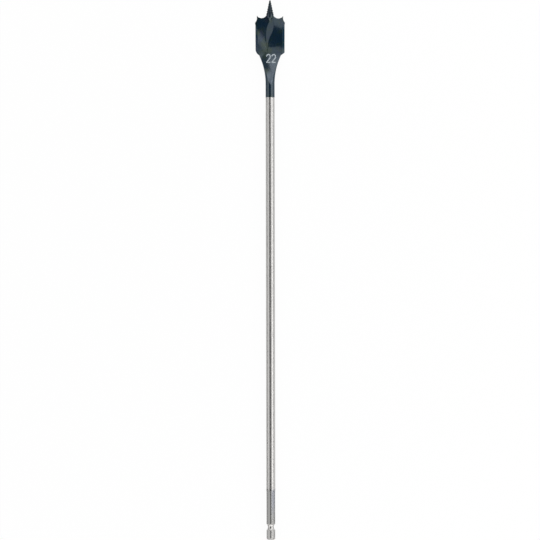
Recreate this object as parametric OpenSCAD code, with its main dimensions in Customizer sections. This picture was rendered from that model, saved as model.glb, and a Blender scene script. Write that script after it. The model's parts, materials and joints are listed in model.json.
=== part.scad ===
// Long spade drill bit with a threaded screw point, a contoured paddle with two spurs and a hex shank.
// Modelled upright, with the shank's end at the origin and the tip up, then laid down along +Y.

/* [Overall] */
// Length from the end of the shank to the tip of the screw point
overall_l = 400; // [300:5:500]

/* [Shank] */
// Width of the hex across its flats
hex_af = 6.35; // [6.15:0.05:6.55]
// Diameter over the hex's rounded corners
hex_corner_d = 7.3; // [6.9:0.05:7.3]
// Length of the full hex, from the shank's end to where its flats start to run out
hex_l = 34.5; // [20:0.5:60]
// Length over which the flats run out onto the round shaft
hex_runout_l = 4; // [2:0.5:8]
// Distance from the shank's end to the middle of the detent groove
groove_z = 9.4; // [8:0.1:12]
// Width of the detent groove along the shank
groove_w = 5; // [3:0.1:6]
// Diameter at the bottom of the detent groove
groove_d = 4.5; // [4:0.1:5.6]
// Length of the rounded end of the shank
end_round_l = 2.2; // [1:0.1:3]
// Diameter of the flat face at the shank's end
end_face_d = 4.4; // [3.6:0.1:5.2]

/* [Shaft and neck] */
// Diameter of the round shaft
shaft_d = 6.7; // [6.5:0.1:7]
// Length of the dark round collar between the bright shaft and the neck
collar_l = 10; // [4:0.5:20]
// Radius of the hollow curve from the shaft out to the paddle
neck_r = 50; // [35:1:70]
// Length of the neck, from the shoulder corners down to the round shaft
neck_l = 23.2; // [18:0.2:30]

/* [Paddle] */
// Diameter that the bit cuts, over its two cutting corners
blade_w = 22; // [18:0.5:32]
// Thickness of the flat part of the paddle
blade_t = 2.6; // [2.4:0.1:4]
// Length of the paddle's sides, from the cutting edges down to the shoulder corners
blade_l = 25.9; // [22:0.1:36]
// Distance from the tip of the screw point down to the lowest part of the cutting edges
edge_drop = 12.9; // [12.5:0.1:16]
// Distance from the cutting edges down to the cutting corners
corner_drop = 3.6; // [2:0.1:5]
// Length of the full-width land under each cutting corner
land_l = 1; // [0.5:0.1:2]
// Relief of each side of the paddle below that land
side_relief = 0.24; // [0.1:0.02:0.6]
// Width of the bevels along the sides of the paddle, seen from the front
bevel_w = 1.6; // [0.8:0.1:2.4]
// Depth of those bevels at the sides
bevel_h = 0.7; // [0.4:0.1:1]
// Length over which the bevels fade out below the lands
bevel_fade_l = 4; // [2:0.5:8]
// Slope of the shoulders under the paddle
shoulder_slope = 34.5; // [20:0.5:50]
// Rounding of the left shoulder corner
left_shoulder_r = 5; // [0.5:0.1:6]
// Rounding of the right shoulder corner
right_shoulder_r = 0.8; // [0.5:0.1:6]

/* [Cutting edges] */
// Height of the spur tips above the cutting edges
spur_h = 1.85; // [1.2:0.05:3]
// Distance of each spur tip inside the cutting diameter
spur_inset = 0.95; // [0.5:0.05:2]
// Radius of the hollow on the outside of each spur
spur_r = 5; // [4:0.1:12]
// Clearance angle behind the cutting edges
clearance = 20; // [8:1:25]
// Depth of the scoop in each leading face, and height of the swell behind it
scoop_h = 1.1; // [0.4:0.05:1.3]
// Length of the scoop along the paddle, with the curves that ease it into the flat
scoop_l = 24; // [18:0.5:28]
// Distance from the cutting edges down to the deepest part of the scoop
scoop_drop = 9.1; // [7:0.1:10]
// Slope of the leaf-shaped facet that joins a scoop to the swell beside it
leaf_slope = 24; // [18:1:45]
// Distance of the leaf's middle from the centre line, towards the scoop
leaf_shift = 0.7; // [0:0.1:1.5]
// Lean of the leaf from the centre line
leaf_lean = 7; // [0:1:12]

/* [Screw point] */
// Length of the threaded point
screw_l = 10; // [7:0.5:11]
// Diameter over the thread at the foot of the point
screw_d = 5.8; // [4.6:0.1:6]
// Diameter of the blunt tip
screw_tip_d = 1; // [0.4:0.1:1.2]
// Distance from one turn of the thread to the next
thread_pitch = 1.75; // [1.2:0.05:2.5]
// Depth of the thread at the foot of the point
thread_depth = 0.5; // [0.3:0.02:0.8]
// Diameter of the round post under the point
post_d = 5.4; // [4.4:0.1:5.6]
// Length of the cone under the post, where it runs into the paddle
post_cone_l = 2.8; // [1.5:0.1:4]

/* [Hidden] */
dark_coat = "#2b323a";
bright_steel = "#b4b3ae";
$fn = 96;
// Overlap that lets two shapes run into each other
lap = 0.5;
// Depth below the flats of the hex at which their run-out starts
runout_sink = 0.12;
shaft_r = shaft_d / 2;
shank_l = hex_l + hex_runout_l;
post_r = post_d / 2;
// Heights along the bit, from the shank's end
screw_z = overall_l - screw_l;
edge_z = overall_l - edge_drop;
corner_z = edge_z - corner_drop;
land_z = corner_z - land_l;
scoop_z = edge_z - scoop_drop;
shoulder_z = edge_z - blade_l;
neck_z = shoulder_z - neck_l;
collar_z = neck_z - collar_l;
spur_tip = [blade_w / 2 - spur_inset, edge_z + spur_h];
cutting_corner = [blade_w / 2, corner_z];
side_x = blade_w / 2 - side_relief;
// Each cutting edge is an arc between the post and a spur tip
gullet_half = (spur_tip.x - post_r) / 2;
gullet_r = (gullet_half ^ 2 + spur_h ^ 2) / (2 * spur_h);
gullet_x = post_r + gullet_half;
// Depth by which the ends of a scoop's or a swell's curve sink below the flat, so that they cross it
scoop_sink = 0.03;
// Size of the blocks that split and trim the paddle
block = 2 * max(blade_w, blade_l);
// Where the bevels start, how they slope, and where they start and end to fade out
bevel_x = side_x - bevel_w;
bevel_slope = atan2(bevel_h, bevel_w);
bevel_top_z = land_z - side_relief;
fade_z = bevel_top_z - bevel_fade_l;
// Lying down, the bit rolls until the back of its right half touches what its shaft lies on
rest_roll = touching_roll(bevel_x, blade_t / 2);

// Roll at which a point that far to the side and to the back of the axis comes as low as the shaft
function touching_roll(aside, back) = asin(shaft_r / norm([aside, back])) - atan2(back, aside);

// Radius of the arcs along a scoop or a swell that high, an S of two equal arcs on either side of its middle
function swell_r(h) = ((scoop_l / 2) ^ 2 + h ^ 2) / (4 * h);

// Height above the flat at z of a swell that high
function swell_at(z, h) = h - scoop_sink - swell_r(h) + sqrt(swell_r(h) ^ 2 - (z - scoop_z) ^ 2);

// Centre of the circle of radius r through two points, to the right of the way from a to b
function arc_centre(a, b, r) =
    let (half = (b - a) / 2, side = [half.y, -half.x] / norm(half))
    a + half + side * sqrt(r ^ 2 - norm(half) ^ 2);

// Stands a flat outline, drawn as width and height, up in the plane of the paddle
module upright(thickness) {
    rotate([90, 0, 0])
        linear_extrude(height = thickness, center = true)
            children();
}

// Carries a side view, drawn as distance to the front and height, across the paddle
module across(width) {
    rotate([90, 0, -90])
        linear_extrude(height = width, center = true)
            children();
}

// Does the same to both halves of the bit, half a turn apart
module both_halves() {
    for (turn = [0, 180])
        rotate(turn)
            children();
}

// Half outline of the shank: flat end, rounded edge, detent groove and run-out to the shaft
module shank_profile() {
    corner_r = hex_corner_d / 2;
    round_in = corner_r - end_face_d / 2;
    round_r = (round_in ^ 2 + end_round_l ^ 2) / (2 * round_in);
    groove_in = (hex_corner_d - groove_d) / 2;
    groove_r = ((groove_w / 2) ^ 2 + groove_in ^ 2) / (2 * groove_in);
    difference() {
        polygon([[0, 0], [corner_r, 0], [corner_r, hex_l], [shaft_r, shank_l], [0, shank_l]]);
        translate([groove_d / 2 + groove_r, groove_z])
            circle(r = groove_r);
        difference() {
            translate([end_face_d / 2 - lap, -lap])
                square([round_in + 2 * lap, end_round_l + lap]);
            translate([corner_r - round_r, end_round_l])
                circle(r = round_r);
        }
    }
}

// Hex shank, with flats that run out in arcs where they meet the round shaft
module shank() {
    intersection() {
        rotate_extrude()
            shank_profile();
        union() {
            rotate(30)
                cylinder(d = hex_af / cos(30), h = shank_l, $fn = 6);
            translate([0, 0, hex_l])
                cylinder(d1 = hex_af - 2 * runout_sink, d2 = max(hex_corner_d, shaft_d), h = hex_runout_l);
        }
    }
}

// Bright round shaft, which runs on into the shank and the collar at its ends
module shaft() {
    translate([0, 0, shank_l - lap])
        cylinder(d = shaft_d, h = collar_z - shank_l + 2 * lap);
}

// Half thickness of the neck at a height, between its two sloping flats
function neck_half(z) = blade_t / 2 + (shaft_r - blade_t / 2) * (shoulder_z - z) / neck_l;

// Collar and neck: round bar that flares out along an arc, flattened by two sloping planes
module neck() {
    top_z = shoulder_z + lap;
    flare_w = shaft_r + neck_l;
    intersection() {
        translate([0, 0, collar_z])
            rotate_extrude()
                difference() {
                    square([flare_w, top_z - collar_z]);
                    translate([shaft_r, -lap])
                        square([flare_w, collar_l + lap]);
                    translate([shaft_r + neck_r, collar_l])
                        circle(r = neck_r, $fn = 360);
                }
        across(block)
            polygon([
                [-neck_half(collar_z), collar_z],
                [neck_half(collar_z), collar_z],
                [neck_half(top_z), top_z],
                [-neck_half(top_z), top_z]
            ]);
    }
}

// What rounding takes away from a shoulder corner at the origin, between its side and its slope
module shoulder_cut(round_r) {
    tangent_l = round_r / tan((90 + shoulder_slope) / 2);
    along_slope = [-cos(shoulder_slope), -sin(shoulder_slope)];
    below_slope = [sin(shoulder_slope), -cos(shoulder_slope)];
    centre = [-round_r, tangent_l];
    difference() {
        polygon([
            centre,
            [0, tangent_l],
            [lap, tangent_l],
            [lap, -lap],
            tangent_l * along_slope + lap * below_slope,
            tangent_l * along_slope
        ]);
        translate(centre)
            circle(r = round_r);
    }
}

// Outline of the paddle from the front: spurs, cutting corners, relieved sides and sloping shoulders
module paddle_outline() {
    point_z = shoulder_z - side_x * tan(shoulder_slope);
    difference() {
        polygon([
            [0, point_z],
            [side_x, shoulder_z],
            [side_x, land_z - side_relief],
            [blade_w / 2, land_z],
            [blade_w / 2, spur_tip.y + lap],
            [-blade_w / 2, spur_tip.y + lap],
            [-blade_w / 2, land_z],
            [-side_x, land_z - side_relief],
            [-side_x, shoulder_z]
        ]);
        for (side = [0, 1])
            mirror([side, 0])
                translate(arc_centre(cutting_corner, spur_tip, spur_r))
                    circle(r = spur_r);
        translate([side_x, shoulder_z])
            shoulder_cut(right_shoulder_r);
        mirror([1, 0])
            translate([side_x, shoulder_z])
                shoulder_cut(left_shoulder_r);
    }
}

// Side view of a swell that stands up from the flat: one arc over its middle, eased in by an arc at each end
module swell_profile(h) {
    ease_z = scoop_l / 2;
    translate([blade_t / 2 - scoop_sink, scoop_z])
        difference() {
            union() {
                polygon([
                    [-lap, -ease_z],
                    [0, -ease_z],
                    [h / 2, -ease_z / 2],
                    [h / 2, ease_z / 2],
                    [0, ease_z],
                    [-lap, ease_z]
                ]);
                intersection() {
                    translate([h - swell_r(h), 0])
                        circle(r = swell_r(h), $fn = 360);
                    translate([0, -ease_z / 2])
                        square([2 * h, ease_z]);
                }
            }
            for (end = [-1, 1])
                translate([swell_r(h), end * ease_z])
                    circle(r = swell_r(h), $fn = 360);
        }
}

// Side view of a scoop: the swell's curve, turned inwards
module scoop_profile(h) {
    translate([blade_t, 0])
        mirror([1, 0])
            swell_profile(h);
}

// The part of space on the swell's side of the leaf-shaped facet
module swell_side() {
    translate([-leaf_shift, -blade_t / 2, scoop_z])
        rotate([0, leaf_lean, 0])
            rotate(90 - leaf_slope)
                translate([0, -block, -block])
                    cube([block, 2 * block, 2 * block]);
}

// Swell on the front of the right half
module swell() {
    intersection() {
        across(block)
            swell_profile(scoop_h);
        swell_side();
    }
}

// Scoop in the front of the left half, under its cutting edge
module scoop() {
    difference() {
        across(block)
            scoop_profile(scoop_h);
        swell_side();
    }
}

// Hollow above the left cutting edge, tilted back for clearance, and the space above the spur and the edge
module gullet() {
    translate([-gullet_x, -blade_t / 2, edge_z + gullet_r])
        rotate([90 - clearance, 0, 0]) {
            cylinder(r = gullet_r, h = block, center = true);
            translate([-block, spur_h - gullet_r, -block / 2])
                cube([block + gullet_x, block, block]);
        }
}

// Side view of what a bevel takes away, up to where it fades out; rise is 1 over a swell and -1 in a scoop
module bevel_profile(rise) {
    front = blade_t / 2;
    h = scoop_h * cos(bevel_slope);
    bottom_z = shoulder_z - block / 2;
    difference() {
        polygon([
            [front, bottom_z],
            [front, fade_z],
            [front + rise * swell_at(fade_z, h), fade_z],
            [front + rise * swell_at(bevel_top_z, h) + bevel_w * sin(bevel_slope), bevel_top_z],
            [block, bevel_top_z],
            [block, bottom_z]
        ]);
        if (rise > 0)
            swell_profile(h);
    }
    if (rise < 0)
        intersection() {
            scoop_profile(h);
            translate([0, bottom_z])
                square([block, fade_z - bottom_z]);
        }
}

// Bevels along the front edges of the paddle, which follow the swell on the right and the scoop on the left
module side_bevels() {
    for (side = [0, 1])
        mirror([side, 0, 0])
            translate([bevel_x, -blade_t / 2, 0])
                rotate(bevel_slope)
                    translate([0, blade_t / 2, 0])
                        across(2 * block)
                            bevel_profile(rise = 1 - 2 * side);
}

// Contoured paddle with its two cutting edges
module paddle() {
    difference() {
        intersection() {
            union() {
                translate([-block / 2, -blade_t / 2, shoulder_z - block])
                    cube([block, blade_t, 2 * block]);
                both_halves()
                    swell();
            }
            upright(block)
                paddle_outline();
        }
        both_halves() {
            scoop();
            gullet();
            side_bevels();
        }
    }
}

// Round post that carries the point and runs into the paddle as a cone
module post() {
    foot_z = edge_z - post_cone_l / 2;
    rotate_extrude()
        polygon([
            [0, foot_z - post_cone_l / 2],
            [blade_t / 4, foot_z - post_cone_l / 2],
            [post_r, foot_z + post_cone_l / 2],
            [post_r, screw_z],
            [0, screw_z]
        ]);
}

// Screw point: a round with one sharp crest, on the left at the foot, turned and tapered as it rises
module screw_point() {
    crest_r = screw_d / 2;
    core_r = crest_r - thread_depth;
    crest_half = 110;
    sides = 18;
    turns = screw_l / thread_pitch;
    translate([0, 0, screw_z])
        linear_extrude(
            height = screw_l,
            twist = -360 * turns,
            scale = screw_tip_d / screw_d,
            slices = round(turns * 14),
            segments = sides
        )
            polygon([
                for (i = [0 : sides - 1])
                    let (
                        a = 360 * i / sides - 180,
                        r = core_r + thread_depth * max(0, 1 - abs(a) / crest_half)
                    )
                    -r * [cos(a), sin(a)]
            ]);
}

module spade_bit() {
    rotate([0, rest_roll, 0])
        rotate([-90, 0, 0]) {
            color(bright_steel) {
                shank();
                shaft();
            }
            color(dark_coat) {
                neck();
                paddle();
                post();
                screw_point();
            }
        }
}

spade_bit();
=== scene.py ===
"""Looks of a long spade drill bit: a ground shaft with a hex shank and a coated paddle with a screw point."""

import json
import math

import bmesh
import bpy
import numpy as np
from bpy.props import FloatProperty, FloatVectorProperty, PointerProperty
from bpy.types import Operator, Panel, PropertyGroup
from mathutils import Matrix, Vector

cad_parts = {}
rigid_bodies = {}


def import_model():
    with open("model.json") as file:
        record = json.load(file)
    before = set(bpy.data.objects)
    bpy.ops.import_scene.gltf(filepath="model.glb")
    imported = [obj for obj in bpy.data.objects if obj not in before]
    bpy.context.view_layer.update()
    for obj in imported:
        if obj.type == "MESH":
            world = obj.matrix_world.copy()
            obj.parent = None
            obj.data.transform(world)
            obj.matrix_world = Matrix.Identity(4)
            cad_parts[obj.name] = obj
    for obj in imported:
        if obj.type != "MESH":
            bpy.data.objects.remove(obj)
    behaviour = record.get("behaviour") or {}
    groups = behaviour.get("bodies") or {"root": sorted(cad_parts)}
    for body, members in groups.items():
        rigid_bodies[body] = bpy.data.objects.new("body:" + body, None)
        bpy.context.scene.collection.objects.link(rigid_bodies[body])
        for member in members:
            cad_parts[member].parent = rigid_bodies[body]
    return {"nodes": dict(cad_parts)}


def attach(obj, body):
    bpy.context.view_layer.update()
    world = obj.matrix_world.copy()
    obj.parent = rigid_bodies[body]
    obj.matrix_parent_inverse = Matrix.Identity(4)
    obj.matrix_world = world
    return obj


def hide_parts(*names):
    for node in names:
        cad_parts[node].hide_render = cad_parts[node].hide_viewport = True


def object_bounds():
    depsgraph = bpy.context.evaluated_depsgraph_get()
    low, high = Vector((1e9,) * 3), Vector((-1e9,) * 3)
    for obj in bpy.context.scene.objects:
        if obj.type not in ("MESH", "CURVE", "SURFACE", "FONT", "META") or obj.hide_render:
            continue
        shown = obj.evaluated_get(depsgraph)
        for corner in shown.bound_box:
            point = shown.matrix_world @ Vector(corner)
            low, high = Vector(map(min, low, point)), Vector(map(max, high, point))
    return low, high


bl_info = {
    "name": "Spade drill bit",
    "version": (1, 0, 0),
    "blender": (4, 5, 0),
    "location": "3D View > Sidebar > Drill bit",
    "description": "Dresses the solid of a long spade drill bit with fine surfaces and finishes",
    "category": "Add Mesh",
}

for left_over in list(bpy.data.objects):
    bpy.data.objects.remove(left_over)
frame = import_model()
CAD_LOW, CAD_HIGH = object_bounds()
SOLID = frame["nodes"]["spade_bit"]
MM = 0.001


def neck_roll(mesh, low=342 * MM, high=357 * MM, flat_lean=0.088, slack=0.002):
    """Roll of the lying bit: the turn about +Y of the neck's upper flat.

    That flat is found by its place along the bit and by how far its unit normal leans to the tip.
    """
    corners = np.empty(3 * len(mesh.vertices))
    mesh.vertices.foreach_get("co", corners)
    mesh.calc_loop_triangles()
    triangles = np.empty(3 * len(mesh.loop_triangles), int)
    mesh.loop_triangles.foreach_get("vertices", triangles)
    a, b, c = corners.reshape(-1, 3)[triangles.reshape(-1, 3)].transpose(1, 0, 2)
    normal = np.cross(b - a, c - a)
    middle = (a + b + c)[:, 1] / 3
    lean = normal[:, 1] / np.maximum(np.linalg.norm(normal, axis=1), 1e-12)
    on_neck = (middle > low) & (middle < high)
    flat = on_neck & (abs(lean - flat_lean) < slack) & (normal[:, 2] > 0)
    if not flat.any():
        raise RuntimeError("the neck's upper flat was not found in the solid")
    total = normal[flat].sum(axis=0)
    return math.atan2(total[0], total[2])


class BitSizes(PropertyGroup):
    """Sizes of the bit; places along it are measured from the end of the shank."""

    roll: FloatProperty(
        name="Roll", description="Turn of the paddle about the axis, as the bit lies",
        default=neck_roll(SOLID.data), subtype="ANGLE")
    length: FloatProperty(
        name="Length", description="From the end of the shank to the tip of the point",
        default=CAD_HIGH.y, unit="LENGTH")
    shaft_d: FloatProperty(
        name="Shaft diameter", description="Diameter of the round shaft",
        default=6.7 * MM, unit="LENGTH")
    coat_start: FloatProperty(
        name="Start of the coat", description="Where the bright shaft ends and the dark coat starts",
        default=328 * MM, unit="LENGTH")
    hex_af: FloatProperty(
        name="Hex width", description="Width of the shank across its flats",
        default=6.35 * MM, unit="LENGTH")
    hex_corner_d: FloatProperty(
        name="Hex corner diameter", description="Diameter over the hex's corners",
        default=7.3 * MM, unit="LENGTH")
    hex_l: FloatProperty(
        name="Hex length", description="From the end to where the flats start to run out",
        default=34.5 * MM, unit="LENGTH")
    runout_l: FloatProperty(
        name="Run-out", description="Length over which the flats run out onto the shaft",
        default=4 * MM, unit="LENGTH")
    hex_round: FloatProperty(
        name="Hex corner rounding", description="Radius of the worn corners of the hex",
        default=1.7 * MM, unit="LENGTH")
    runout_sink: FloatProperty(
        name="Run-out sink", description="Depth below the flats at which their run-out starts",
        default=0.12 * MM, unit="LENGTH")
    groove_at: FloatProperty(
        name="Groove position", description="From the end to the middle of the detent groove",
        default=9.4 * MM, unit="LENGTH")
    groove_w: FloatProperty(
        name="Groove width", description="Width of the detent groove along the shank",
        default=5 * MM, unit="LENGTH")
    groove_d: FloatProperty(
        name="Groove diameter", description="Diameter at the bottom of the groove",
        default=4.5 * MM, unit="LENGTH")
    end_round_l: FloatProperty(
        name="End rounding", description="Length of the shank's rounded end",
        default=2.2 * MM, unit="LENGTH")
    end_face_d: FloatProperty(
        name="End face", description="Diameter of the flat at the shank's end",
        default=4.4 * MM, unit="LENGTH")
    screw_l: FloatProperty(
        name="Point length", description="Length of the threaded point",
        default=10 * MM, unit="LENGTH")
    screw_d: FloatProperty(
        name="Point diameter", description="Diameter over the thread at its foot",
        default=5.8 * MM, unit="LENGTH")
    screw_tip_d: FloatProperty(
        name="Tip diameter", description="Diameter of the blunt tip",
        default=1 * MM, unit="LENGTH")
    thread_pitch: FloatProperty(
        name="Pitch", description="Distance from one turn of the thread to the next",
        default=1.75 * MM, unit="LENGTH")
    thread_depth: FloatProperty(
        name="Thread depth", description="Depth of the thread at the foot of the point",
        default=0.5 * MM, unit="LENGTH")
    post_d: FloatProperty(
        name="Post diameter", description="Diameter of the round post under the point",
        default=5.4 * MM, unit="LENGTH")
    post_cone_l: FloatProperty(
        name="Post cone", description="Length of the cone under the post",
        default=2.8 * MM, unit="LENGTH")
    shoulder_at: FloatProperty(
        name="Shoulder", description="Where the neck's flats reach the thickness of the paddle",
        default=361.2 * MM, unit="LENGTH")
    neck_l: FloatProperty(
        name="Neck length", description="From the shoulders down to the round shaft",
        default=23.2 * MM, unit="LENGTH")
    neck_r: FloatProperty(
        name="Neck curve", description="Radius of the hollow curve from the shaft out to the paddle",
        default=50 * MM, unit="LENGTH")
    dent_r: FloatProperty(
        name="Roll-off", description="Radius by which the left of the neck's flats rolls off",
        default=24 * MM, unit="LENGTH")
    dent_slope: FloatProperty(
        name="Roll-off slope", description="Greatest slope of that roll-off", default=0.06)
    blade_w: FloatProperty(
        name="Cutting diameter", description="Width over the two cutting corners",
        default=22 * MM, unit="LENGTH")
    root_h: FloatProperty(
        name="Root height", description="How far the front of the paddle stands out at its shoulders",
        default=0.38 * MM, unit="LENGTH")
    root_l: FloatProperty(
        name="Root length", description="Least length over which that root eases into the paddle",
        default=4.6 * MM, unit="LENGTH")
    root_side_l: FloatProperty(
        name="Root at the sides", description="Added length of the root towards the sides",
        default=7 * MM, unit="LENGTH")
    swell_shift: FloatProperty(
        name="Swell shift", description="How far nearer to the tip than the scoop the swell lies",
        default=1.3 * MM, unit="LENGTH")
    swell_skew: FloatProperty(
        name="Swell skew", description="Fall of the swell's top line away from the leaf, per length across",
        default=0.4)
    swell_stretch: FloatProperty(
        name="Swell stretch", description="Length of the swell's lower half, as a share of the scoop's",
        default=1.15)
    scoop_skew: FloatProperty(
        name="Scoop skew", description="Fall of the scoop's deepest line towards the leaf, per length across",
        default=1.0)
    blade_t: FloatProperty(
        name="Paddle thickness", description="Thickness of the flat part of the paddle",
        default=2.6 * MM, unit="LENGTH")
    edge_at: FloatProperty(
        name="Cutting edges", description="Where the lowest part of the cutting edges lies",
        default=387.1 * MM, unit="LENGTH")
    corner_drop: FloatProperty(
        name="Corner drop", description="From the cutting edges down to the cutting corners",
        default=3.6 * MM, unit="LENGTH")
    land_l: FloatProperty(
        name="Land", description="Length of the full-width land under each cutting corner",
        default=1 * MM, unit="LENGTH")
    side_relief: FloatProperty(
        name="Side relief", description="Relief of each side of the paddle below the land",
        default=0.24 * MM, unit="LENGTH")
    bevel_w: FloatProperty(
        name="Bevel width", description="Width of the bevels along the sides",
        default=1.6 * MM, unit="LENGTH")
    bevel_h: FloatProperty(
        name="Bevel depth", description="Depth of those bevels at the sides",
        default=0.7 * MM, unit="LENGTH")
    bevel_fade_l: FloatProperty(
        name="Bevel fade", description="Length over which the bevels fade out below the lands",
        default=4 * MM, unit="LENGTH")
    shoulder_slope: FloatProperty(
        name="Shoulder slope", description="Slope of the shoulders under the paddle",
        default=math.radians(34.5), subtype="ANGLE")
    left_shoulder_r: FloatProperty(
        name="Left shoulder rounding", description="Rounding of the left shoulder corner",
        default=5 * MM, unit="LENGTH")
    right_shoulder_r: FloatProperty(
        name="Right shoulder rounding", description="Rounding of the right shoulder corner",
        default=0.8 * MM, unit="LENGTH")
    spur_h: FloatProperty(
        name="Spur height", description="Height of the spur tips above the cutting edges",
        default=1.85 * MM, unit="LENGTH")
    spur_inset: FloatProperty(
        name="Spur inset", description="Distance of each spur tip inside the cutting diameter",
        default=0.95 * MM, unit="LENGTH")
    spur_r: FloatProperty(
        name="Spur hollow", description="Radius of the hollow on the outside of each spur",
        default=5 * MM, unit="LENGTH")
    clearance: FloatProperty(
        name="Clearance", description="Clearance angle behind the cutting edges",
        default=math.radians(20), subtype="ANGLE")
    scoop_h: FloatProperty(
        name="Scoop depth", description="Depth of each scoop and height of the swell beside it",
        default=1.1 * MM, unit="LENGTH")
    scoop_l: FloatProperty(
        name="Scoop length", description="Length of the scoop along the paddle",
        default=24 * MM, unit="LENGTH")
    scoop_drop: FloatProperty(
        name="Scoop position", description="From the cutting edges down to the deepest part of the scoop",
        default=9.1 * MM, unit="LENGTH")
    leaf_slope: FloatProperty(
        name="Leaf slope", description="Slope of the leaf-shaped facet between scoop and swell",
        default=math.radians(24), subtype="ANGLE")
    leaf_shift: FloatProperty(
        name="Leaf offset", description="Distance of the leaf's middle from the centre line",
        default=0.2 * MM, unit="LENGTH")
    leaf_lean: FloatProperty(
        name="Leaf lean", description="Lean of the leaf from the centre line",
        default=math.radians(7), subtype="ANGLE")
    digit_w: FloatProperty(
        name="Digit width", description="Width of one digit of the size mark",
        default=2.75 * MM, unit="LENGTH")
    digit_h: FloatProperty(
        name="Digit height", description="Height of the size mark",
        default=5.85 * MM, unit="LENGTH")
    stroke_w: FloatProperty(
        name="Stroke width", description="Width of the strokes of the size mark",
        default=0.9 * MM, unit="LENGTH")
    mark_at: FloatProperty(
        name="Mark position", description="Height of the foot of the size mark along the bit",
        default=353.9 * MM, unit="LENGTH")
    mark_aside: FloatProperty(
        name="Mark offset", description="How far to the right of the axis the mark is centred",
        default=0.65 * MM, unit="LENGTH")


class BitFinish(PropertyGroup):
    """Colours of the finishes, as reflected light."""

    steel: FloatVectorProperty(
        name="Ground steel", description="Colour of the ground shaft",
        default=(0.52, 0.512, 0.5), size=3, subtype="COLOR")
    shank_steel: FloatVectorProperty(
        name="Shank steel", description="Colour of the drawn hex shank",
        default=(0.318, 0.317, 0.308), size=3, subtype="COLOR")
    shank_blue: FloatVectorProperty(
        name="Shank steel, blue cast", description="Colour of the shank where hardening turned it blue",
        default=(0.28, 0.29, 0.325), size=3, subtype="COLOR")
    coat: FloatVectorProperty(
        name="Coat", description="Colour of the blue-black coat itself",
        default=(0.002, 0.02, 0.046), size=3, subtype="COLOR")
    coat_green: FloatVectorProperty(
        name="Coat, green cast", description="Colour of the coat where it turns green",
        default=(0.004, 0.024, 0.026), size=3, subtype="COLOR")
    coat_purple: FloatVectorProperty(
        name="Coat, purple cast", description="Colour of the coat where it turns purple",
        default=(0.009, 0.018, 0.04), size=3, subtype="COLOR")
    sheen: FloatVectorProperty(
        name="Sheen", description="Tint of what the coat mirrors",
        default=(0.092, 0.112, 0.118), size=3, subtype="COLOR")
    sheen_green: FloatVectorProperty(
        name="Sheen, green cast", description="Tint of what the coat mirrors where it turns green",
        default=(0.11, 0.126, 0.106), size=3, subtype="COLOR")
    sheen_blue: FloatVectorProperty(
        name="Sheen, blue cast", description="Tint of what the coat mirrors where it turns blue",
        default=(0.084, 0.102, 0.136), size=3, subtype="COLOR")
    neck_sheen: FloatVectorProperty(
        name="Neck sheen", description="Tint of what the neck's brighter flats mirror",
        default=(0.31, 0.355, 0.41), size=3, subtype="COLOR")
    point_sheen: FloatVectorProperty(
        name="Point sheen", description="Tint of what the screw point mirrors",
        default=(0.068, 0.07, 0.068), size=3, subtype="COLOR")
    sheen_rim: FloatVectorProperty(
        name="Rim sheen", description="How much of the glancing light the coat mirrors",
        default=(0.55, 0.6, 0.64), size=3, subtype="COLOR")
    mark: FloatVectorProperty(
        name="Size mark", description="Colour of the pale size mark",
        default=(0.38, 0.425, 0.46), size=3, subtype="COLOR")


class StudioLight(PropertyGroup):
    """The camera and the lamps round the bit."""

    lens: FloatProperty(
        name="Lens", description="Focal length of the camera, in millimetres", default=200)
    view_w: FloatProperty(
        name="View width", description="Width of the view at the bit",
        default=400.6 * MM, unit="LENGTH")
    turn: FloatProperty(
        name="Turn", description="How far the paddle's front turns to the right of the camera",
        default=math.radians(3), subtype="ANGLE")
    tilt: FloatProperty(
        name="Tilt", description="Lean of the bit in the picture, its shank to the right",
        default=math.radians(0.1), subtype="ANGLE")
    shift: FloatProperty(
        name="Shift", description="How far to the right of the picture's middle the bit's middle lies",
        default=0.31 * MM, unit="LENGTH")
    right_strip: FloatProperty(
        name="Right strip", description="Brightness of the long strip on the right", default=1.4)
    right_core: FloatProperty(
        name="Right core", description="Added brightness of the strip's narrow core", default=1.6)
    left_strip: FloatProperty(
        name="Left strip", description="Brightness of the long strip on the left", default=1.06)
    tip_panel: FloatProperty(
        name="Tip panel", description="Brightness of the panel beyond the tip", default=1.2)
    shank_panel: FloatProperty(
        name="Shank panel", description="Brightness of the low panel beyond the shank", default=1.5)
    far_panel: FloatProperty(
        name="Far panel", description="Brightness of the low panel far beyond the tip", default=1.3)
    room: FloatProperty(
        name="Room", description="Brightness of the room all round", default=0.055)


def sizes():
    """The sizes that the panel shows."""
    return bpy.context.scene.bit_sizes


def finish():
    """The colours that the panel shows."""
    return bpy.context.scene.bit_finish


def laid(across, along, front):
    """Points of the lying bit: plate coordinates (across, along, front) turned about +Y by the roll."""
    roll = sizes().roll
    cosine, sine = math.cos(roll), math.sin(roll)
    parts = np.broadcast_arrays(across * cosine + front * sine, along, front * cosine - across * sine)
    return np.stack(parts, axis=-1)


def grid_faces(rows, columns, wrap):
    """Corner numbers of the quads between neighbouring rows and columns, closed round if wrap is set."""
    row, column = np.meshgrid(np.arange(rows - 1), np.arange(columns if wrap else columns - 1), indexing="ij")
    beside = (column + 1) % columns
    quads = [row * columns + column, row * columns + beside,
             (row + 1) * columns + beside, (row + 1) * columns + column]
    return np.stack(quads, axis=-1).reshape(-1, 4)


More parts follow.
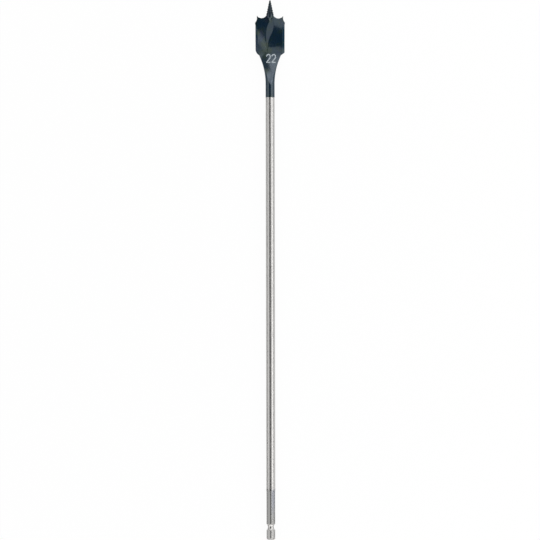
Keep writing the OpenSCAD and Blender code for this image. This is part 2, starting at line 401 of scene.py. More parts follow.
def closed_tubes(name, *tubes):
    """Mesh of tubes, each given as rings of points, one ring a row, with a pole in the middle of each end."""
    corners, faces = [], []
    for points in tubes:
        first = sum(map(len, corners))
        rows, columns = points.shape[:2]
        start = np.arange(columns)
        beside = (start + 1) % columns
        last = (rows - 1) * columns
        pole = np.full(columns, rows * columns)
        caps = np.concatenate([
            np.stack([pole, beside, start], axis=-1),
            np.stack([pole + 1, last + start, last + beside], axis=-1),
        ])
        corners += [points.reshape(-1, 3), points[[0, -1]].mean(axis=1)]
        faces += (grid_faces(rows, columns, True) + first).tolist()
        faces += (caps + first).tolist()
    mesh = bpy.data.meshes.new(name)
    mesh.from_pydata(np.concatenate(corners).tolist(), [], faces)
    return mesh


def finish_mesh(mesh, sharp_angle):
    """Turns every face of a closed mesh outwards and shades it smooth, save for edges over the angle."""
    shape = bmesh.new()
    shape.from_mesh(mesh)
    bmesh.ops.recalc_face_normals(shape, faces=shape.faces)
    shape.to_mesh(mesh)
    shape.free()
    mesh.shade_smooth()
    mesh.set_sharp_from_angle(angle=math.radians(sharp_angle))
    mesh.validate()


def place(name, mesh, material):
    """Puts a finished mesh into the scene as a piece that rides on the bit and stands for its solid."""
    mesh.materials.clear()
    mesh.materials.append(material)
    piece = bpy.data.objects.new(name, mesh)
    bpy.context.scene.collection.objects.link(piece)
    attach(piece, "root")
    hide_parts("spade_bit")


class Value:
    """A float socket that works in Python expressions, which add the Math nodes that they need."""

    def __init__(self, graph, socket):
        self.graph = graph
        self.socket = socket

    def math(self, operation, *others):
        node = self.graph.node("ShaderNodeMath", {"operation": operation}, dict(enumerate((self, *others))))
        return Value(self.graph, node.outputs[0])

    def __add__(self, other):
        return self.math("ADD", other)

    def __sub__(self, other):
        return self.math("SUBTRACT", other)

    def __mul__(self, other):
        return self.math("MULTIPLY", other)

    def __truediv__(self, other):
        return self.math("DIVIDE", other)

    def __rsub__(self, other):
        return (self * -1) + other

    __radd__ = __add__
    __rmul__ = __mul__

    def abs(self):
        return self.math("ABSOLUTE")

    def step(self, low, high):
        """Smooth step from 0 at low to 1 at high; low may be the greater."""
        node = self.graph.node(
            "ShaderNodeMapRange", {"interpolation_type": "SMOOTHSTEP"},
            {"Value": self, "From Min": low, "From Max": high})
        return Value(self.graph, node.outputs[0])


class Graph:
    """Nodes of one material or of the world."""

    def __init__(self, owner):
        owner.use_nodes = True
        self.tree = owner.node_tree
        self.tree.nodes.clear()

    def node(self, kind, settings=None, inputs=None):
        """Adds a node, sets its settings first and then the values or links of its sockets."""
        node = self.tree.nodes.new(kind)
        for name, setting in (settings or {}).items():
            setattr(node, name, setting)
        for name, given in (inputs or {}).items():
            socket = given.socket if isinstance(given, Value) else given
            if isinstance(socket, bpy.types.NodeSocket):
                self.tree.links.new(socket, node.inputs[name])
            else:
                node.inputs[name].default_value = socket
        return node

    def value(self, node, output=0):
        return Value(self, node.outputs[output])

    def plate(self):
        """Object coordinates turned back: x across the paddle, y along the bit and z to its front."""
        where = self.node("ShaderNodeTexCoord").outputs["Object"]
        turned = self.node("ShaderNodeMapping", None, {"Vector": where, "Rotation": (0, -sizes().roll, 0)})
        return turned.outputs[0]

    def parts(self, vector):
        node = self.node("ShaderNodeSeparateXYZ", None, {0: vector})
        return [self.value(node, i) for i in range(3)]

    def noise(self, vector, scale, detail, rough):
        """Noise with so many waves to the metre along each axis."""
        scaled = self.node("ShaderNodeMapping", None, {"Vector": vector, "Scale": scale})
        node = self.node("ShaderNodeTexNoise", None, {
            "Vector": scaled.outputs[0], "Scale": 1.0, "Detail": detail, "Roughness": rough})
        return self.value(node)

    def blend(self, factor, first, second):
        """Colour between two colours."""
        colours = {6: opaque(first), 7: opaque(second)}
        node = self.node("ShaderNodeMix", {"data_type": "RGBA"}, {0: factor, **colours})
        return node.outputs[2]

    def bump(self, height, depth):
        node = self.node("ShaderNodeBump", None, {"Height": height, "Distance": depth, "Strength": 1.0})
        return node.outputs[0]

    def surface(self, shader):
        self.node("ShaderNodeOutputMaterial", None, {"Surface": shader.outputs[0]})


def opaque(colour):
    """A colour with its alpha, or a colour socket as it is."""
    return colour if isinstance(colour, bpy.types.NodeSocket) else (*colour, 1.0)


def shade(colour, factor):
    """A colour made darker or lighter."""
    return tuple(min(1.0, part * factor) for part in colour)


def ground_steel():
    """Satin steel with fine rings from grinding on the shaft and drawn lines along the hex shank.

    The shank has a blue cast on one side of its upper part, and its turned groove and end are brighter.
    """
    material = bpy.data.materials.new("ground_steel")
    graph = Graph(material)
    look, size = finish(), sizes()
    where = graph.plate()
    x, y = graph.parts(where)[:2]
    shank = y.step(size.hex_l + size.runout_l, size.hex_l + 0.3 * size.runout_l)
    rings = graph.noise(where, (250, 4200, 250), 2.0, 0.5)
    lines = graph.noise(where, (2400, 30, 2400), 1.5, 0.5)
    cloud = graph.noise(where, (300, 22, 300), 3.0, 0.55)
    tone = (rings - 0.5) * 0.3 * (1 - shank) + (lines - 0.5) * 0.9 + (cloud - 0.5) * 0.7 + 0.5
    bright = graph.blend(tone, shade(look.steel, 0.88), shade(look.steel, 1.1))
    drawn = graph.blend(tone, shade(look.shank_steel, 0.8), shade(look.shank_steel, 1.18))
    heated = y.step(size.hex_l - 22 * MM, size.hex_l - 6 * MM) * x.step(-0.5 * MM, 1 * MM)
    heated = heated * cloud.step(0.3, 0.55)
    drawn = graph.blend(heated * 0.85, drawn, look.shank_blue)
    groove_half, rim = size.groove_w / 2, 0.4 * MM
    end = (y - size.groove_at).step(groove_half, groove_half - rim)
    groove = (y - size.groove_at).abs().step(groove_half, groove_half - rim)
    drawn = graph.blend(end * 0.4 + groove * 0.6, drawn, look.steel)
    colour = graph.blend(shank, bright, drawn)
    rough = (rings - 0.5) * 0.06 + (cloud - 0.5) * 0.1 + 0.33 - shank * 0.06
    height = rings * (1 - shank) + lines * shank
    shader = graph.node("ShaderNodeBsdfPrincipled", None, {
        "Base Color": colour, "Metallic": 1.0, "Roughness": rough,
        "Normal": graph.bump(height, 0.0025 * MM)})
    graph.surface(shader)
    return material


def dark_coat():
    """Blue-black film over forged steel: a dim tinted mirror mixed with a deep body colour, both with casts.

    The neck's front flat mirrors more than the rest, and the matt bevels along the paddle mirror less; the
    right bevel is darker again than the left, a painted shade.
    """
    material = bpy.data.materials.new("dark_coat")
    graph = Graph(material)
    look, size = finish(), sizes()
    where = graph.plate()
    x, y, z = graph.parts(where)
    cast = graph.noise(where, (150, 150, 150), 3.0, 0.55)
    other_cast = graph.noise(where, (210, 140, 210), 2.0, 0.5)
    grain = graph.noise(where, (900, 2600, 900), 4.0, 0.65)
    green, blue = cast.step(0.44, 0.64), other_cast.step(0.5, 0.7)
    body = graph.blend(blue, graph.blend(green, look.coat, look.coat_green), look.coat_purple)
    sheen = graph.blend(blue, graph.blend(green, look.sheen, look.sheen_green), look.sheen_blue)
    on_flat = (z - neck_flat(y, size.root_h)).step(-0.14 * MM, -0.02 * MM)
    on_flat = on_flat * y.step(size.shoulder_at + 2 * MM, size.shoulder_at - 10 * MM)
    on_collar = y.step(size.shoulder_at - 6 * MM, size.shoulder_at - 16 * MM) * (1 - on_flat)
    sheen = graph.blend(on_flat * 0.9 + on_collar * 0.12 + (grain - 0.5) * 0.3, sheen, look.neck_sheen)
    on_point = y.step(size.edge_at, size.edge_at + 4 * MM)
    sheen = graph.blend(on_point, sheen, look.point_sheen)
    rough = (grain - 0.5) * 0.1 + (cast - 0.5) * 0.1 + on_point * 0.08 - on_collar * 0.1 + 0.21
    mirror = graph.node("ShaderNodeBsdfPrincipled", None, {
        "Base Color": sheen, "Metallic": 1.0, "Roughness": rough, "Specular Tint": opaque(look.sheen_rim),
        "Normal": graph.bump(grain, 0.003 * MM)})
    deep = graph.node("ShaderNodeBsdfPrincipled", None, {
        "Base Color": body, "Roughness": 0.6, "Specular IOR Level": 0.0})
    bevel_at = size.blade_w / 2 - size.side_relief - size.bevel_w
    bevel_top = size.edge_at - size.corner_drop - size.land_l
    bevel = x.abs().step(bevel_at - 0.05 * MM, bevel_at + 0.1 * MM)
    bevel = bevel * y.step(bevel_top, bevel_top - size.bevel_fade_l)
    bevel = bevel * (y.step(size.shoulder_at + 1 * MM, size.shoulder_at + 5 * MM) * 0.5 + 0.5)
    # Painted shade: the right bevel is mixed further towards the dark body than the left
    share = bevel * (x.step(-5 * MM, 5 * MM) * 0.23 + 0.23) + 0.5
    both = graph.node("ShaderNodeMixShader", None, {0: share, 1: mirror.outputs[0], 2: deep.outputs[0]})
    graph.surface(both)
    return material


def mark_ink():
    """Pale etched strokes with a faint grain."""
    material = bpy.data.materials.new("size_mark")
    graph = Graph(material)
    look = finish()
    where = graph.plate()
    grain = graph.noise(where, (2500, 2500, 2500), 2.0, 0.6)
    colour = graph.blend(grain, shade(look.mark, 0.85), shade(look.mark, 1.12))
    shader = graph.node("ShaderNodeBsdfPrincipled", None, {
        "Base Color": colour, "Metallic": 0.2, "Roughness": (grain - 0.5) * 0.2 + 0.55})
    graph.surface(shader)
    return material


def runout_share(along):
    """Share of the flats' run-out that is passed at a height, 0 below it and 1 above."""
    size = sizes()
    return np.clip((along - size.hex_l) / size.runout_l, 0, 1)


def turned_radius(along):
    """Radius of the turned bar: an arc at its end, an arc for the groove and a cone down to the shaft."""
    size = sizes()
    corner_r = size.hex_corner_d / 2
    round_in = corner_r - size.end_face_d / 2
    round_r = (round_in ** 2 + size.end_round_l ** 2) / (2 * round_in)
    end_part = np.clip(size.end_round_l - along, 0, None)
    bar = corner_r - round_r + np.sqrt(round_r ** 2 - end_part ** 2)
    groove_in = corner_r - size.groove_d / 2
    groove_r = ((size.groove_w / 2) ** 2 + groove_in ** 2) / (2 * groove_in)
    from_groove = np.clip(abs(along - size.groove_at), 0, size.groove_w / 2)
    groove = size.groove_d / 2 + groove_r - np.sqrt(groove_r ** 2 - from_groove ** 2)
    return np.minimum(bar, groove) - (corner_r - size.shaft_d / 2) * runout_share(along)


def hex_radius(angle):
    """Radius of the hex: half its width over the cosine of the angle from the nearest flat's middle.

    An arc that is tangent to two flats goes over each corner.
    """
    size = sizes()
    half_side = math.pi / 6
    flat_angle = (angle + half_side) % (2 * half_side) - half_side
    flat_r = size.hex_af / 2 / np.cos(flat_angle)
    arc_in = size.hex_af / 2 - size.hex_round
    arc_at = arc_in / math.cos(half_side)
    widest = math.asin(min(1.0, size.hex_round / arc_at))
    from_corner = np.minimum(abs(half_side - abs(flat_angle)), widest)
    arc_r = arc_at * np.cos(from_corner) + np.sqrt(size.hex_round ** 2 - (arc_at * np.sin(from_corner)) ** 2)
    on_arc = flat_r * np.sin(abs(flat_angle)) > arc_in * math.tan(half_side)
    return np.where(on_arc, np.minimum(arc_r, flat_r), flat_r)


def shank_and_shaft_points(columns=144):
    """Rings of the shaft: the radius is the lesser of the turned bar's and of the hex's.

    A cone that widens to the shaft fills the run-outs of the hex.
    """
    size = sizes()
    shank_l = size.hex_l + size.runout_l
    groove_start, groove_end = size.groove_at - size.groove_w / 2, size.groove_at + size.groove_w / 2
    along = np.concatenate([
        size.end_round_l * (1 - np.cos(np.linspace(0, math.pi / 2, 14))),
        np.linspace(size.end_round_l, groove_start, 10)[1:],
        np.linspace(groove_start, groove_end, 40)[1:],
        np.linspace(groove_end, size.hex_l, 40)[1:],
        np.linspace(size.hex_l, shank_l, 48)[1:],
        np.linspace(shank_l, size.coat_start, 60)[1:],
    ])[:, None]
    angle = np.arange(columns) * (2 * math.pi / columns)
    runout = runout_share(along)
    fill_start = size.hex_af / 2 - size.runout_sink
    fill = np.where(runout > 0, fill_start + (size.hex_corner_d / 2 - fill_start) * runout, 0)
    radius = np.minimum(turned_radius(along), np.maximum(hex_radius(angle), fill))
    return laid(radius * np.cos(angle), along, radius * np.sin(angle))


def flare(along):
    """Half width of the neck from the front: the shaft's, then a circle of the neck's radius."""
    size = sizes()
    up = np.clip(along - (size.shoulder_at - size.neck_l), 0, None)
    return size.shaft_d / 2 + size.neck_r - np.sqrt(size.neck_r ** 2 - up ** 2)


def neck_flat(along, root_h):
    """Distance of one of the neck's flats from the axis, falling evenly from the shaft to the paddle's root.

    The place along the bit is an array, or a value in a material.
    """
    size = sizes()
    root = size.blade_t / 2 + root_h
    return root + (size.shaft_d / 2 - root) * (size.shoulder_at - along) / size.neck_l


def soft_step(value, low, high):
    """Smooth step from 0 at low to 1 at high."""
    share = np.clip((value - low) / (high - low), 0, 1)
    return share * share * (3 - 2 * share)


def neck_dent(across, along):
    """Depth by which the left of the neck's flat rolls off, as forging leaves it.

    To the left of a line that leans across the flat it is an arc, then a slope, and it fades at both ends.
    """
    size = sizes()
    line_foot, line_lean = 3.666 * MM, 0.22
    low, high = 4 * MM, 12.5 * MM
    top_at, top_lean, top_fade = 29 * MM, 1.75, 2.8 * MM
    up = along - (size.shoulder_at - size.neck_l)
    left = np.clip(line_foot - line_lean * up - across, 0, None)
    arc = np.minimum(left, size.dent_slope * size.dent_r)
    depth = arc ** 2 / (2 * size.dent_r) + (left - arc) * size.dent_slope
    top = top_at + top_lean * across
    return depth * soft_step(up, low, high) * soft_step(up, top + top_fade, top - top_fade)


NECK_ROUND, NECK_FLAT = 40, 56


def neck_points():
    """Rings of the collar and neck: the radius is the lesser of the flare and of the distance to the flats.

    Each ring has the round right side, the front flat, the round left side and the back flat in turn.
    The columns between them run along the edges of the flats, which meet in a point low on the neck.
    """
    size = sizes()
    neck_at = size.shoulder_at - size.neck_l
    along = np.concatenate([
        np.linspace(size.coat_start, neck_at, 12),
        np.linspace(neck_at, size.shoulder_at, 130)[1:],
    ])[:, None]
    wide = flare(along)
    steepest = math.sin(math.radians(82))
    front_flat, back_flat = neck_flat(along, size.root_h), neck_flat(along, 0.0)
    front_edge = np.arcsin(np.clip(front_flat / wide, 0, steepest))
    back_edge = np.arcsin(np.clip(back_flat / wide, 0, steepest))
    turn = np.linspace(0, 1, NECK_ROUND, endpoint=False) * (front_edge + back_edge)
    span = np.linspace(1, -1, NECK_FLAT, endpoint=False)
    angle = np.concatenate([
        turn - back_edge,
        np.arctan2(np.sin(front_edge), np.cos(front_edge) * span),
        turn + math.pi - front_edge,
        np.arctan2(-np.sin(back_edge), -np.cos(back_edge) * span),
    ], axis=1)
    sine = np.sin(angle)
    flat = np.where(sine > 0, front_flat, back_flat)
    radius = np.minimum(wide, flat / np.maximum(abs(sine), 1e-6))
    across = radius * np.cos(angle)
    highest = front_flat - neck_dent(across, along)
    lowest = neck_dent(-across, along) - back_flat
    return laid(across, along, np.clip(radius * sine, lowest, highest))


def outline_half(along, shoulder_r):
    """Half width of the paddle at a height, with the given rounding of its shoulder.

    From below: the sloping shoulder, an arc tangent to it and to the side, the side, the step to the land,
    and above the cutting corner the hollow of the spur, an arc through the corner and the spur's tip.
    """
    size = sizes()
    half = size.blade_w / 2
    side = half - size.side_relief
    slope = size.shoulder_slope
    tangent = shoulder_r / math.tan((math.pi / 2 + slope) / 2)
    arc_at = size.shoulder_at + tangent
    below = np.clip(arc_at - along, 0, shoulder_r * math.cos(slope))
    rounded = side - shoulder_r + np.sqrt(shoulder_r ** 2 - below ** 2)
    sloping = side - (size.shoulder_at - along) / math.tan(slope)
    width = np.where(arc_at - along > shoulder_r * math.cos(slope), np.minimum(rounded, sloping), rounded)
    corner_at = size.edge_at - size.corner_drop
    land_at = corner_at - size.land_l
    width = width + np.clip(along - land_at + size.side_relief, 0, size.side_relief)
    foot, tip = np.array([half, corner_at]), np.array([half - size.spur_inset, size.edge_at + size.spur_h])
    chord = (tip - foot) / 2
    reach = np.linalg.norm(chord)
    centre = foot + chord + np.array([chord[1], -chord[0]]) / reach * math.sqrt(size.spur_r ** 2 - reach ** 2)
    up = np.clip(along, corner_at, tip[1]) - centre[1]
    spur = centre[0] - np.sqrt(size.spur_r ** 2 - up ** 2)
    return np.where(along > corner_at, spur, width)


def swell(along):
    """Height of a swell, or depth of a scoop: an arc over its middle, eased in by equal arcs at both ends."""
    size = sizes()
    ease = size.scoop_l / 2
    bend = (ease ** 2 + size.scoop_h ** 2) / (4 * size.scoop_h)
    away = np.clip(abs(along - (size.edge_at - size.scoop_drop)), 0, ease)
    over = size.scoop_h - bend + np.sqrt(bend ** 2 - away ** 2)
    eased = bend - np.sqrt(bend ** 2 - (ease - away) ** 2)
    return np.where(away < ease / 2, over, eased)


def contour(across, along):
    """Height over the paddle's flat: the leaf's sloping plane, between the scoop on its left and the swell.

    Below its deepest part the scoop runs askew down to the foot of the leaf; the swell's top line leans too.
    """
    size = sizes()
    scoop_middle, swell_middle = -0.37 * size.blade_w, 5 * MM
    across_axis = math.sin(size.leaf_slope) * math.cos(size.leaf_lean)
    along_axis = math.sin(size.leaf_slope) * math.sin(size.leaf_lean)
    scoop_at = size.edge_at - size.scoop_drop
    leaf = across_axis * (across + size.leaf_shift) - along_axis * (along - scoop_at)
    leaf = leaf / math.cos(size.leaf_slope)
    lower = soft_step(along, scoop_at + 2 * MM, scoop_at - 6 * MM)
    on_leaf = soft_step(across, -5 * MM, -1.5 * MM) * soft_step(along, scoop_at - 13 * MM, scoop_at - 4 * MM)
    skewed = along + size.scoop_skew * (across - scoop_middle) * lower * (1 - on_leaf)
    below = along - scoop_at - size.swell_shift + size.swell_skew * (across - swell_middle)
    stretched = scoop_at + np.where(below < 0, below / size.swell_stretch, below)
    return np.clip(leaf, -swell(skewed), swell(stretched))


def side_bevel(across, along):
    """Depth of the bevels along the paddle's sides: even slopes, which fade out towards the lands."""
    size = sizes()
    past = abs(across) - (size.blade_w / 2 - size.side_relief - size.bevel_w)
    top = size.edge_at - size.corner_drop - size.land_l - size.side_relief
    fade = np.clip((along - top) / size.bevel_fade_l + 1, 0, 1)
    return np.clip(past / size.bevel_w - fade, 0, None) * size.bevel_h


def paddle_root(across, along, root_h):
    """Lift of the paddle at its shoulders: a cubic that meets the neck's slope, longer towards the sides.

    Below the shoulders it is a parabola that bends down into the neck.
    """
    size = sizes()
    root_middle, bend = 1.5 * MM, 0.02 / MM
    root_l = size.root_l + size.root_side_l * ((across - root_middle) / (size.blade_w / 2)) ** 2
    fall = (size.shaft_d / 2 - size.blade_t / 2 - root_h) / size.neck_l
    up = np.clip((along - size.shoulder_at) / root_l, 0, 1)
    down = np.clip(size.shoulder_at - along, 0, None)
    return (1 - up) ** 2 * (root_h * (1 + 2 * up) - fall * root_l * up) + down * (fall - bend * down)


def paddle_front(across, along, root_h):
    """Front of the paddle: its half thickness, contour and root, less the bevels and the neck's roll-off."""
    front = sizes().blade_t / 2 + contour(across, along) + paddle_root(across, along, root_h)
    return front - side_bevel(across, along) - neck_dent(across, along)


def edge_top(across, front):
    """Height of the cutting edges and of the clearance behind them, at a distance to the front.

    Each gullet is a round hollow between the post and the spur, tilted back by the clearance angle; nothing
    stands above the spurs. The left edge leads at the front and the right one, half a turn on, at the back.
    """
    size = sizes()
    post = size.post_d / 2
    half = (size.blade_w / 2 - size.spur_inset - post) / 2
    bend = (half ** 2 + size.spur_h ** 2) / (2 * size.spur_h)
    away = np.minimum(abs(abs(across) - post - half), half)
    hollow = -np.sqrt(bend ** 2 - away ** 2)
    behind = np.where(across < 0, front, -front) - size.blade_t / 2
    return size.edge_at + bend + (hollow + behind * math.sin(size.clearance)) / math.cos(size.clearance)


SHEET_ROWS, FACE_COLUMNS, BEVEL_COLUMNS = 170, 65, 13


def sheet_points(side):
    """One face of the paddle as rows from the shoulders to the cutting edges; side is 1, or -1 for the back.

    A column keeps its share of the half width at every height; one runs along each bevel's inner edge.
    """
    size = sizes()
    edge = 1 - size.bevel_w / (size.blade_w / 2 - size.side_relief)
    share = np.concatenate([
        np.linspace(0, edge, FACE_COLUMNS + 1),
        np.linspace(edge, 1, BEVEL_COLUMNS + 1)[1:],
    ])
    share = np.concatenate([-share[:0:-1], share])
    left, right = size.left_shoulder_r, size.right_shoulder_r

    def across_at(along):
        return share * np.where(share < 0, outline_half(along, left), outline_half(along, right))

    def front_at(across, along):
        return side * paddle_front(side * across, along, size.root_h if side > 0 else 0.0)

    in_neck = 2.3 * MM
    start = size.shoulder_at - in_neck
    top = np.full(share.shape, size.edge_at)
    # The height of the edge depends on where the face lies there, so a few rounds settle both
    for _ in range(12):
        across = across_at(top)
        top = edge_top(across, front_at(across, top))
    along = start + (top - start) * np.linspace(0, 1, SHEET_ROWS)[:, None]
    across = across_at(along)
    return across, along, front_at(across, along)


def paddle_mesh():
    """Closed mesh of the paddle: its front and back faces, joined round their rims by straight walls."""
    front, back = (laid(*sheet_points(side)) for side in (1, -1))
    rows, columns = front.shape[:2]
    number = np.arange(rows * columns).reshape(rows, columns)
    rim = np.concatenate([number[0, :-1], number[:-1, -1], number[-1, :0:-1], number[:0:-1, 0]])
    beside = np.roll(rim, -1)
    behind = rows * columns
    walls = np.stack([rim, rim + behind, beside + behind, beside], axis=-1)
    sheet = grid_faces(rows, columns, False)
    faces = np.concatenate([sheet, sheet[:, ::-1] + behind, walls])
    mesh = bpy.data.meshes.new("paddle")
    mesh.from_pydata(np.concatenate([front, back]).reshape(-1, 3).tolist(), [], faces.tolist())
    return mesh, columns


def crease(mesh, columns, chosen, last):
    """Marks the edges along the chosen columns of a grid of points sharp, up to the last point given."""
    ends = np.empty(2 * len(mesh.edges), int)
    mesh.edges.foreach_get("vertices", ends)
    ends = ends.reshape(-1, 2)
    sharp = np.empty(len(mesh.edges), bool)
    mesh.edges.foreach_get("use_edge_sharp", sharp)
    along = (ends[:, 0] % columns == ends[:, 1] % columns) & (ends.max(axis=1) < last)
    sharp |= along & np.isin(ends[:, 0] % columns, chosen)
    mesh.edges.foreach_set("use_edge_sharp", sharp)


def screw_points():
    """Rings of the cone, the post and the screw point, the latter turned on by the helix and tapered.

    The thread's crest is one column of the grid, from which the radius falls to the core over its flank.
    """
    size = sizes()
    flank, blunt = math.radians(110), 0.6
    foot = size.length - size.screw_l
    turn = np.linspace(-math.pi, math.pi, 73)[:-1]
    cone_at = size.edge_at - size.post_cone_l
    low = np.concatenate([np.linspace(cone_at, size.edge_at, 16), np.linspace(size.edge_at, foot, 16)[1:]])
    low = low[:, None]
    share = np.clip((low - cone_at) / size.post_cone_l, 0, 1)
    low_r = size.blade_t / 4 + (size.post_d / 2 - size.blade_t / 4) * share
    low_angle = math.pi + turn + 0 * low
    up = np.concatenate([np.linspace(0, 1, 440), [1.0]])[:, None]
    crest = np.clip(1 - abs(turn) / flank, 0, None) ** 1.3
    radius = size.screw_d / 2 - size.thread_depth * (1 - crest)
    taper = 1 - (1 - size.screw_tip_d / size.screw_d) * up
    taper[-1] *= blunt
    angle = math.pi + turn - 2 * math.pi * up * size.screw_l / size.thread_pitch
    along = np.concatenate([low, foot + up * size.screw_l])
    ring = np.concatenate([low_r + 0 * turn, taper * radius])
    angle = np.concatenate([low_angle, angle])
    return laid(ring * np.cos(angle), along, ring * np.sin(angle))


def digit_path(count=60):
    """Centre line of a 2 in a unit box: part of an ellipse, a straight way down to the left, and the foot."""
    arc = np.radians(np.linspace(172, -38, count))
    bow = np.stack([0.5 + 0.5 * np.cos(arc), 0.72 + 0.28 * np.sin(arc)], axis=-1)
    down = np.linspace(bow[-1], (0.0, 0.0), count // 2)[1:]
    foot = np.linspace((0.0, 0.0), (1.0, 0.0), count // 3)[1:]
    return np.concatenate([bow, down, foot])


def stroke_points(path, width, sink, proud):
    """A low ridge along a path: a flattened half ellipse across the stroke, its feet sunk below the flat."""
    ahead = np.gradient(path, axis=0)
    ahead /= np.linalg.norm(ahead, axis=1, keepdims=True)
    side = np.stack([-ahead[:, 1], ahead[:, 0]], axis=-1)
    swing = np.linspace(math.pi, 0, 9)
    ridge = path[:, None] + side[:, None] * (np.cos(swing) * width / 2)[None, :, None]
    height = np.clip(np.sin(swing), 0, None) ** 0.5 * (proud + sink) - sink
    return ridge[..., 0], ridge[..., 1], height


def paper_white():
    """Pale paper that is plain white to the camera and where it is mirrored."""
    material = bpy.data.materials.new("pale_floor")
    graph = Graph(material)
    path = graph.node("ShaderNodeLightPath")
    seen = graph.value(path, "Is Camera Ray").math("MAXIMUM", graph.value(path, "Is Glossy Ray"))
    seen = seen.math("MAXIMUM", graph.value(path, "Is Transmission Ray"))
    paper = graph.node("ShaderNodeBsdfDiffuse", None, {"Color": (0.9, 0.9, 0.9, 1)})
    glow = graph.node("ShaderNodeEmission", None, {"Color": (1, 1, 1, 1), "Strength": 1.0})
    both = graph.node("ShaderNodeMixShader", None, {0: seen * 0.96, 1: paper.outputs[0], 2: glow.outputs[0]})
    graph.surface(both)
    return material


def lay_floor(half=3.0):
    """Puts a square floor under the lowest point of the solid."""
    mesh = bpy.data.meshes.new("floor")
    reach = np.array([[-1, -1], [1, -1], [1, 1], [-1, 1]]) * half
    corners = np.column_stack([reach, np.full(4, CAD_LOW.z)])
    mesh.from_pydata(corners.tolist(), [], [(0, 1, 2, 3)])
    floor = bpy.data.objects.new("floor", mesh)
    bpy.context.scene.collection.objects.link(floor)
    mesh.materials.append(paper_white())


def light_room(strength):
    """Lights the scene evenly from all round."""
    world = bpy.data.worlds.new("room")
    bpy.context.scene.world = world
    sky = Graph(world)
    room = sky.node("ShaderNodeBackground", None, {"Color": (1, 1, 1, 1), "Strength": strength})
    sky.node("ShaderNodeOutputWorld", None, {"Surface": room.outputs[0]})


def camera_axes():
    """Directions to the right of the picture, to the tip and to the camera, over the lying bit."""
    view = sizes().roll - bpy.context.scene.bit_studio.turn
    side = Vector((math.cos(view), 0, -math.sin(view)))
    front = Vector((math.sin(view), 0, math.cos(view)))
    return side, Vector((0, 1, 0)), front


def aim(angle, lift):
    """Direction that far round the axis from the camera, right if positive, and lifted to the tip."""
    side, tip, front = camera_axes()
    a, b = math.radians(angle), math.radians(lift)
    return (front * math.cos(a) + side * math.sin(a)) * math.cos(b) + tip * math.sin(b)


def hang_lamp(name, target, towards, up, width, height, brightness):
    """Hangs a flat panel that far towards a direction from its target, turned to it."""
    light = bpy.data.lights.new(name, "AREA")
    light.shape = "RECTANGLE"
    light.size, light.size_y = width, height
    light.energy = brightness * math.pi * width * height
    holder = bpy.data.objects.new(name, light)
    back = towards.normalized()
    right = up.cross(back).normalized()
    turn = Matrix((right, back.cross(right), back)).transposed().to_4x4()
    holder.matrix_world = Matrix.Translation(target + towards) @ turn
    holder.visible_camera = False
    bpy.context.scene.collection.objects.link(holder)


def set_camera(middle):
    """Sets the camera over the middle of the bit, as far off as its lens needs for the width of the view."""
    scene = bpy.context.scene
    studio = scene.bit_studio
    side, tip, front = camera_axes()
    camera = bpy.data.objects.new("camera", bpy.data.cameras.new("camera"))
    camera.data.lens = studio.lens
    camera.data.clip_start, camera.data.clip_end = 0.01, 50
    distance = studio.view_w / camera.data.sensor_width * studio.lens
    turn = Matrix((side, tip, front)).transposed().to_4x4() @ Matrix.Rotation(-studio.tilt, 4, "Z")
    camera.matrix_world = Matrix.Translation(middle + front * distance - side * studio.shift) @ turn
    scene.collection.objects.link(camera)
    scene.camera = camera


class BIT_OT_shaft(Operator):
    """Builds the bright shaft with its hex shank, groove and rounded end as one surface"""

    bl_idname = "bit.shaft"
    bl_label = "Ground shaft and hex shank"

    def execute(self, context):
        mesh = closed_tubes("shaft", shank_and_shaft_points())
        finish_mesh(mesh, 25)
        place("shaft", mesh, ground_steel())
        return {"FINISHED"}


class BIT_OT_neck(Operator):
    """Builds the coated collar and the neck, whose two flats run up into the paddle"""

    bl_idname = "bit.neck"
    bl_label = "Collar and neck"

    def execute(self, context):
        points = neck_points()
        rows, columns = points.shape[:2]
        mesh = closed_tubes("neck", points)
        finish_mesh(mesh, 40)
        half = columns // 2
        crease(mesh, columns, [0, NECK_ROUND, half, half + NECK_ROUND], rows * columns)
        place("neck", mesh, dark_coat())
        return {"FINISHED"}


class BIT_OT_paddle(Operator):
    """Builds the contoured paddle with its scoops, swells, leaf facets, bevels, spurs and cutting edges"""

    bl_idname = "bit.paddle"
    bl_label = "Paddle"

    def execute(self, context):
        mesh, columns = paddle_mesh()
        finish_mesh(mesh, 40)
        crease(mesh, columns, [BEVEL_COLUMNS, columns - 1 - BEVEL_COLUMNS], len(mesh.vertices))
        place("paddle", mesh, bpy.data.materials["dark_coat"])
        return {"FINISHED"}


class BIT_OT_screw_point(Operator):
    """Builds the post with its cone and the threaded point, as a finer helix than the solid's facets"""

    bl_idname = "bit.screw_point"
    bl_label = "Screw point"

    def execute(self, context):
        mesh = closed_tubes("screw_point", screw_points())
        finish_mesh(mesh, 35)
        place("screw_point", mesh, bpy.data.materials["dark_coat"])
        return {"FINISHED"}


class BIT_OT_size_mark(Operator):
    """Draws the number of the cutting diameter as low strokes on the neck's front flat"""

    bl_idname = "bit.size_mark"
    bl_label = "Size mark"

    def execute(self, context):
        size = sizes()
        gap, sunk, proud = 0.25 * MM + size.stroke_w, 0.03 * MM, 0.03 * MM
        strokes = []
        for start in (-size.digit_w - gap / 2, gap / 2):
            path = digit_path() * (size.digit_w, size.digit_h) + (start + size.mark_aside, size.mark_at)
            across, along, height = stroke_points(path, size.stroke_w, sunk, proud)
            flat = neck_flat(along, size.root_h) - neck_dent(across, along)
            strokes.append(laid(across, along, flat + height))
        mesh = closed_tubes("size_mark", *strokes)
        finish_mesh(mesh, 60)
        place("size_mark", mesh, mark_ink())
        return {"FINISHED"}


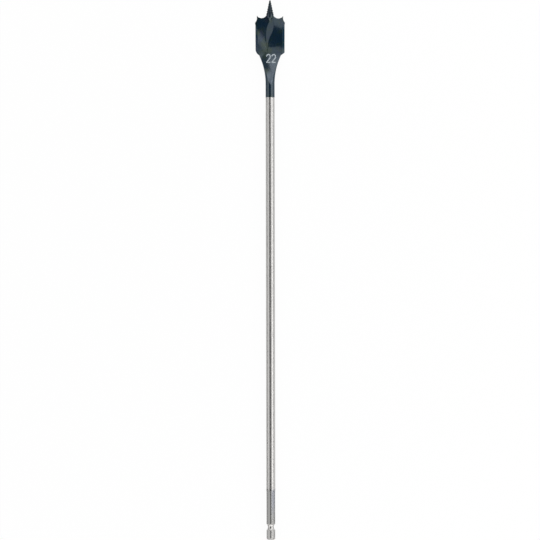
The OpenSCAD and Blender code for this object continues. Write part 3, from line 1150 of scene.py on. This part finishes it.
class BIT_OT_stage(Operator):
    """Lays the pale floor, hangs the soft lamps and sets the camera over the paddle's front"""

    bl_idname = "bit.stage"
    bl_label = "Stage"

    def execute(self, context):
        studio = context.scene.bit_studio
        tip, front = camera_axes()[1:]
        middle = Vector((0, sizes().length / 2, 0))
        head = Vector((0, sizes().edge_at - 15 * MM, 0))
        lay_floor()
        light_room(studio.room)
        hang_lamp("right_strip", middle, aim(44.5, 0) * 0.7, tip, 0.64, 1.8, studio.right_strip)
        hang_lamp("right_core", middle, aim(54, 0) * 0.68, tip, 0.12, 1.8, studio.right_core)
        hang_lamp("left_strip", middle, aim(-57, 0) * 0.7, tip, 0.68, 1.8, studio.left_strip)
        hang_lamp("tip_panel", head, aim(9, 19.5) * 1.1, tip, 0.36, 0.41, studio.tip_panel)
        hang_lamp("shank_panel", Vector(), aim(0, -60) * 0.6, front, 1.0, 0.6, studio.shank_panel)
        hang_lamp("far_panel", Vector(), aim(0, 68) * 0.95, front, 1.0, 0.5, studio.far_panel)
        set_camera(middle)
        context.scene.view_settings.view_transform = "Standard"
        return {"FINISHED"}


OPERATORS = (BIT_OT_shaft, BIT_OT_neck, BIT_OT_paddle, BIT_OT_screw_point, BIT_OT_size_mark, BIT_OT_stage)


class BIT_PT_panel(Panel):
    """Sizes, finishes and light of the drill bit, and the steps that build it"""

    bl_label = "Spade drill bit"
    bl_idname = "BIT_PT_panel"
    bl_space_type = "VIEW_3D"
    bl_region_type = "UI"
    bl_category = "Drill bit"

    def draw(self, context):
        for group in (context.scene.bit_sizes, context.scene.bit_finish, context.scene.bit_studio):
            box = self.layout.box()
            for name in group.__annotations__:
                box.prop(group, name)
        for operator in OPERATORS:
            self.layout.operator(operator.bl_idname)


CLASSES = (BitSizes, BitFinish, StudioLight, *OPERATORS, BIT_PT_panel)


def register():
    for one in CLASSES:
        bpy.utils.register_class(one)
    bpy.types.Scene.bit_sizes = PointerProperty(type=BitSizes)
    bpy.types.Scene.bit_finish = PointerProperty(type=BitFinish)
    bpy.types.Scene.bit_studio = PointerProperty(type=StudioLight)


def unregister():
    del bpy.types.Scene.bit_studio
    del bpy.types.Scene.bit_finish
    del bpy.types.Scene.bit_sizes
    for one in reversed(CLASSES):
        bpy.utils.unregister_class(one)


def main():
    """Builds every piece in order."""
    register()
    bpy.ops.bit.shaft()
    bpy.ops.bit.neck()
    bpy.ops.bit.paddle()
    bpy.ops.bit.screw_point()
    bpy.ops.bit.size_mark()
    bpy.ops.bit.stage()


if __name__ == "__main__":
    main()
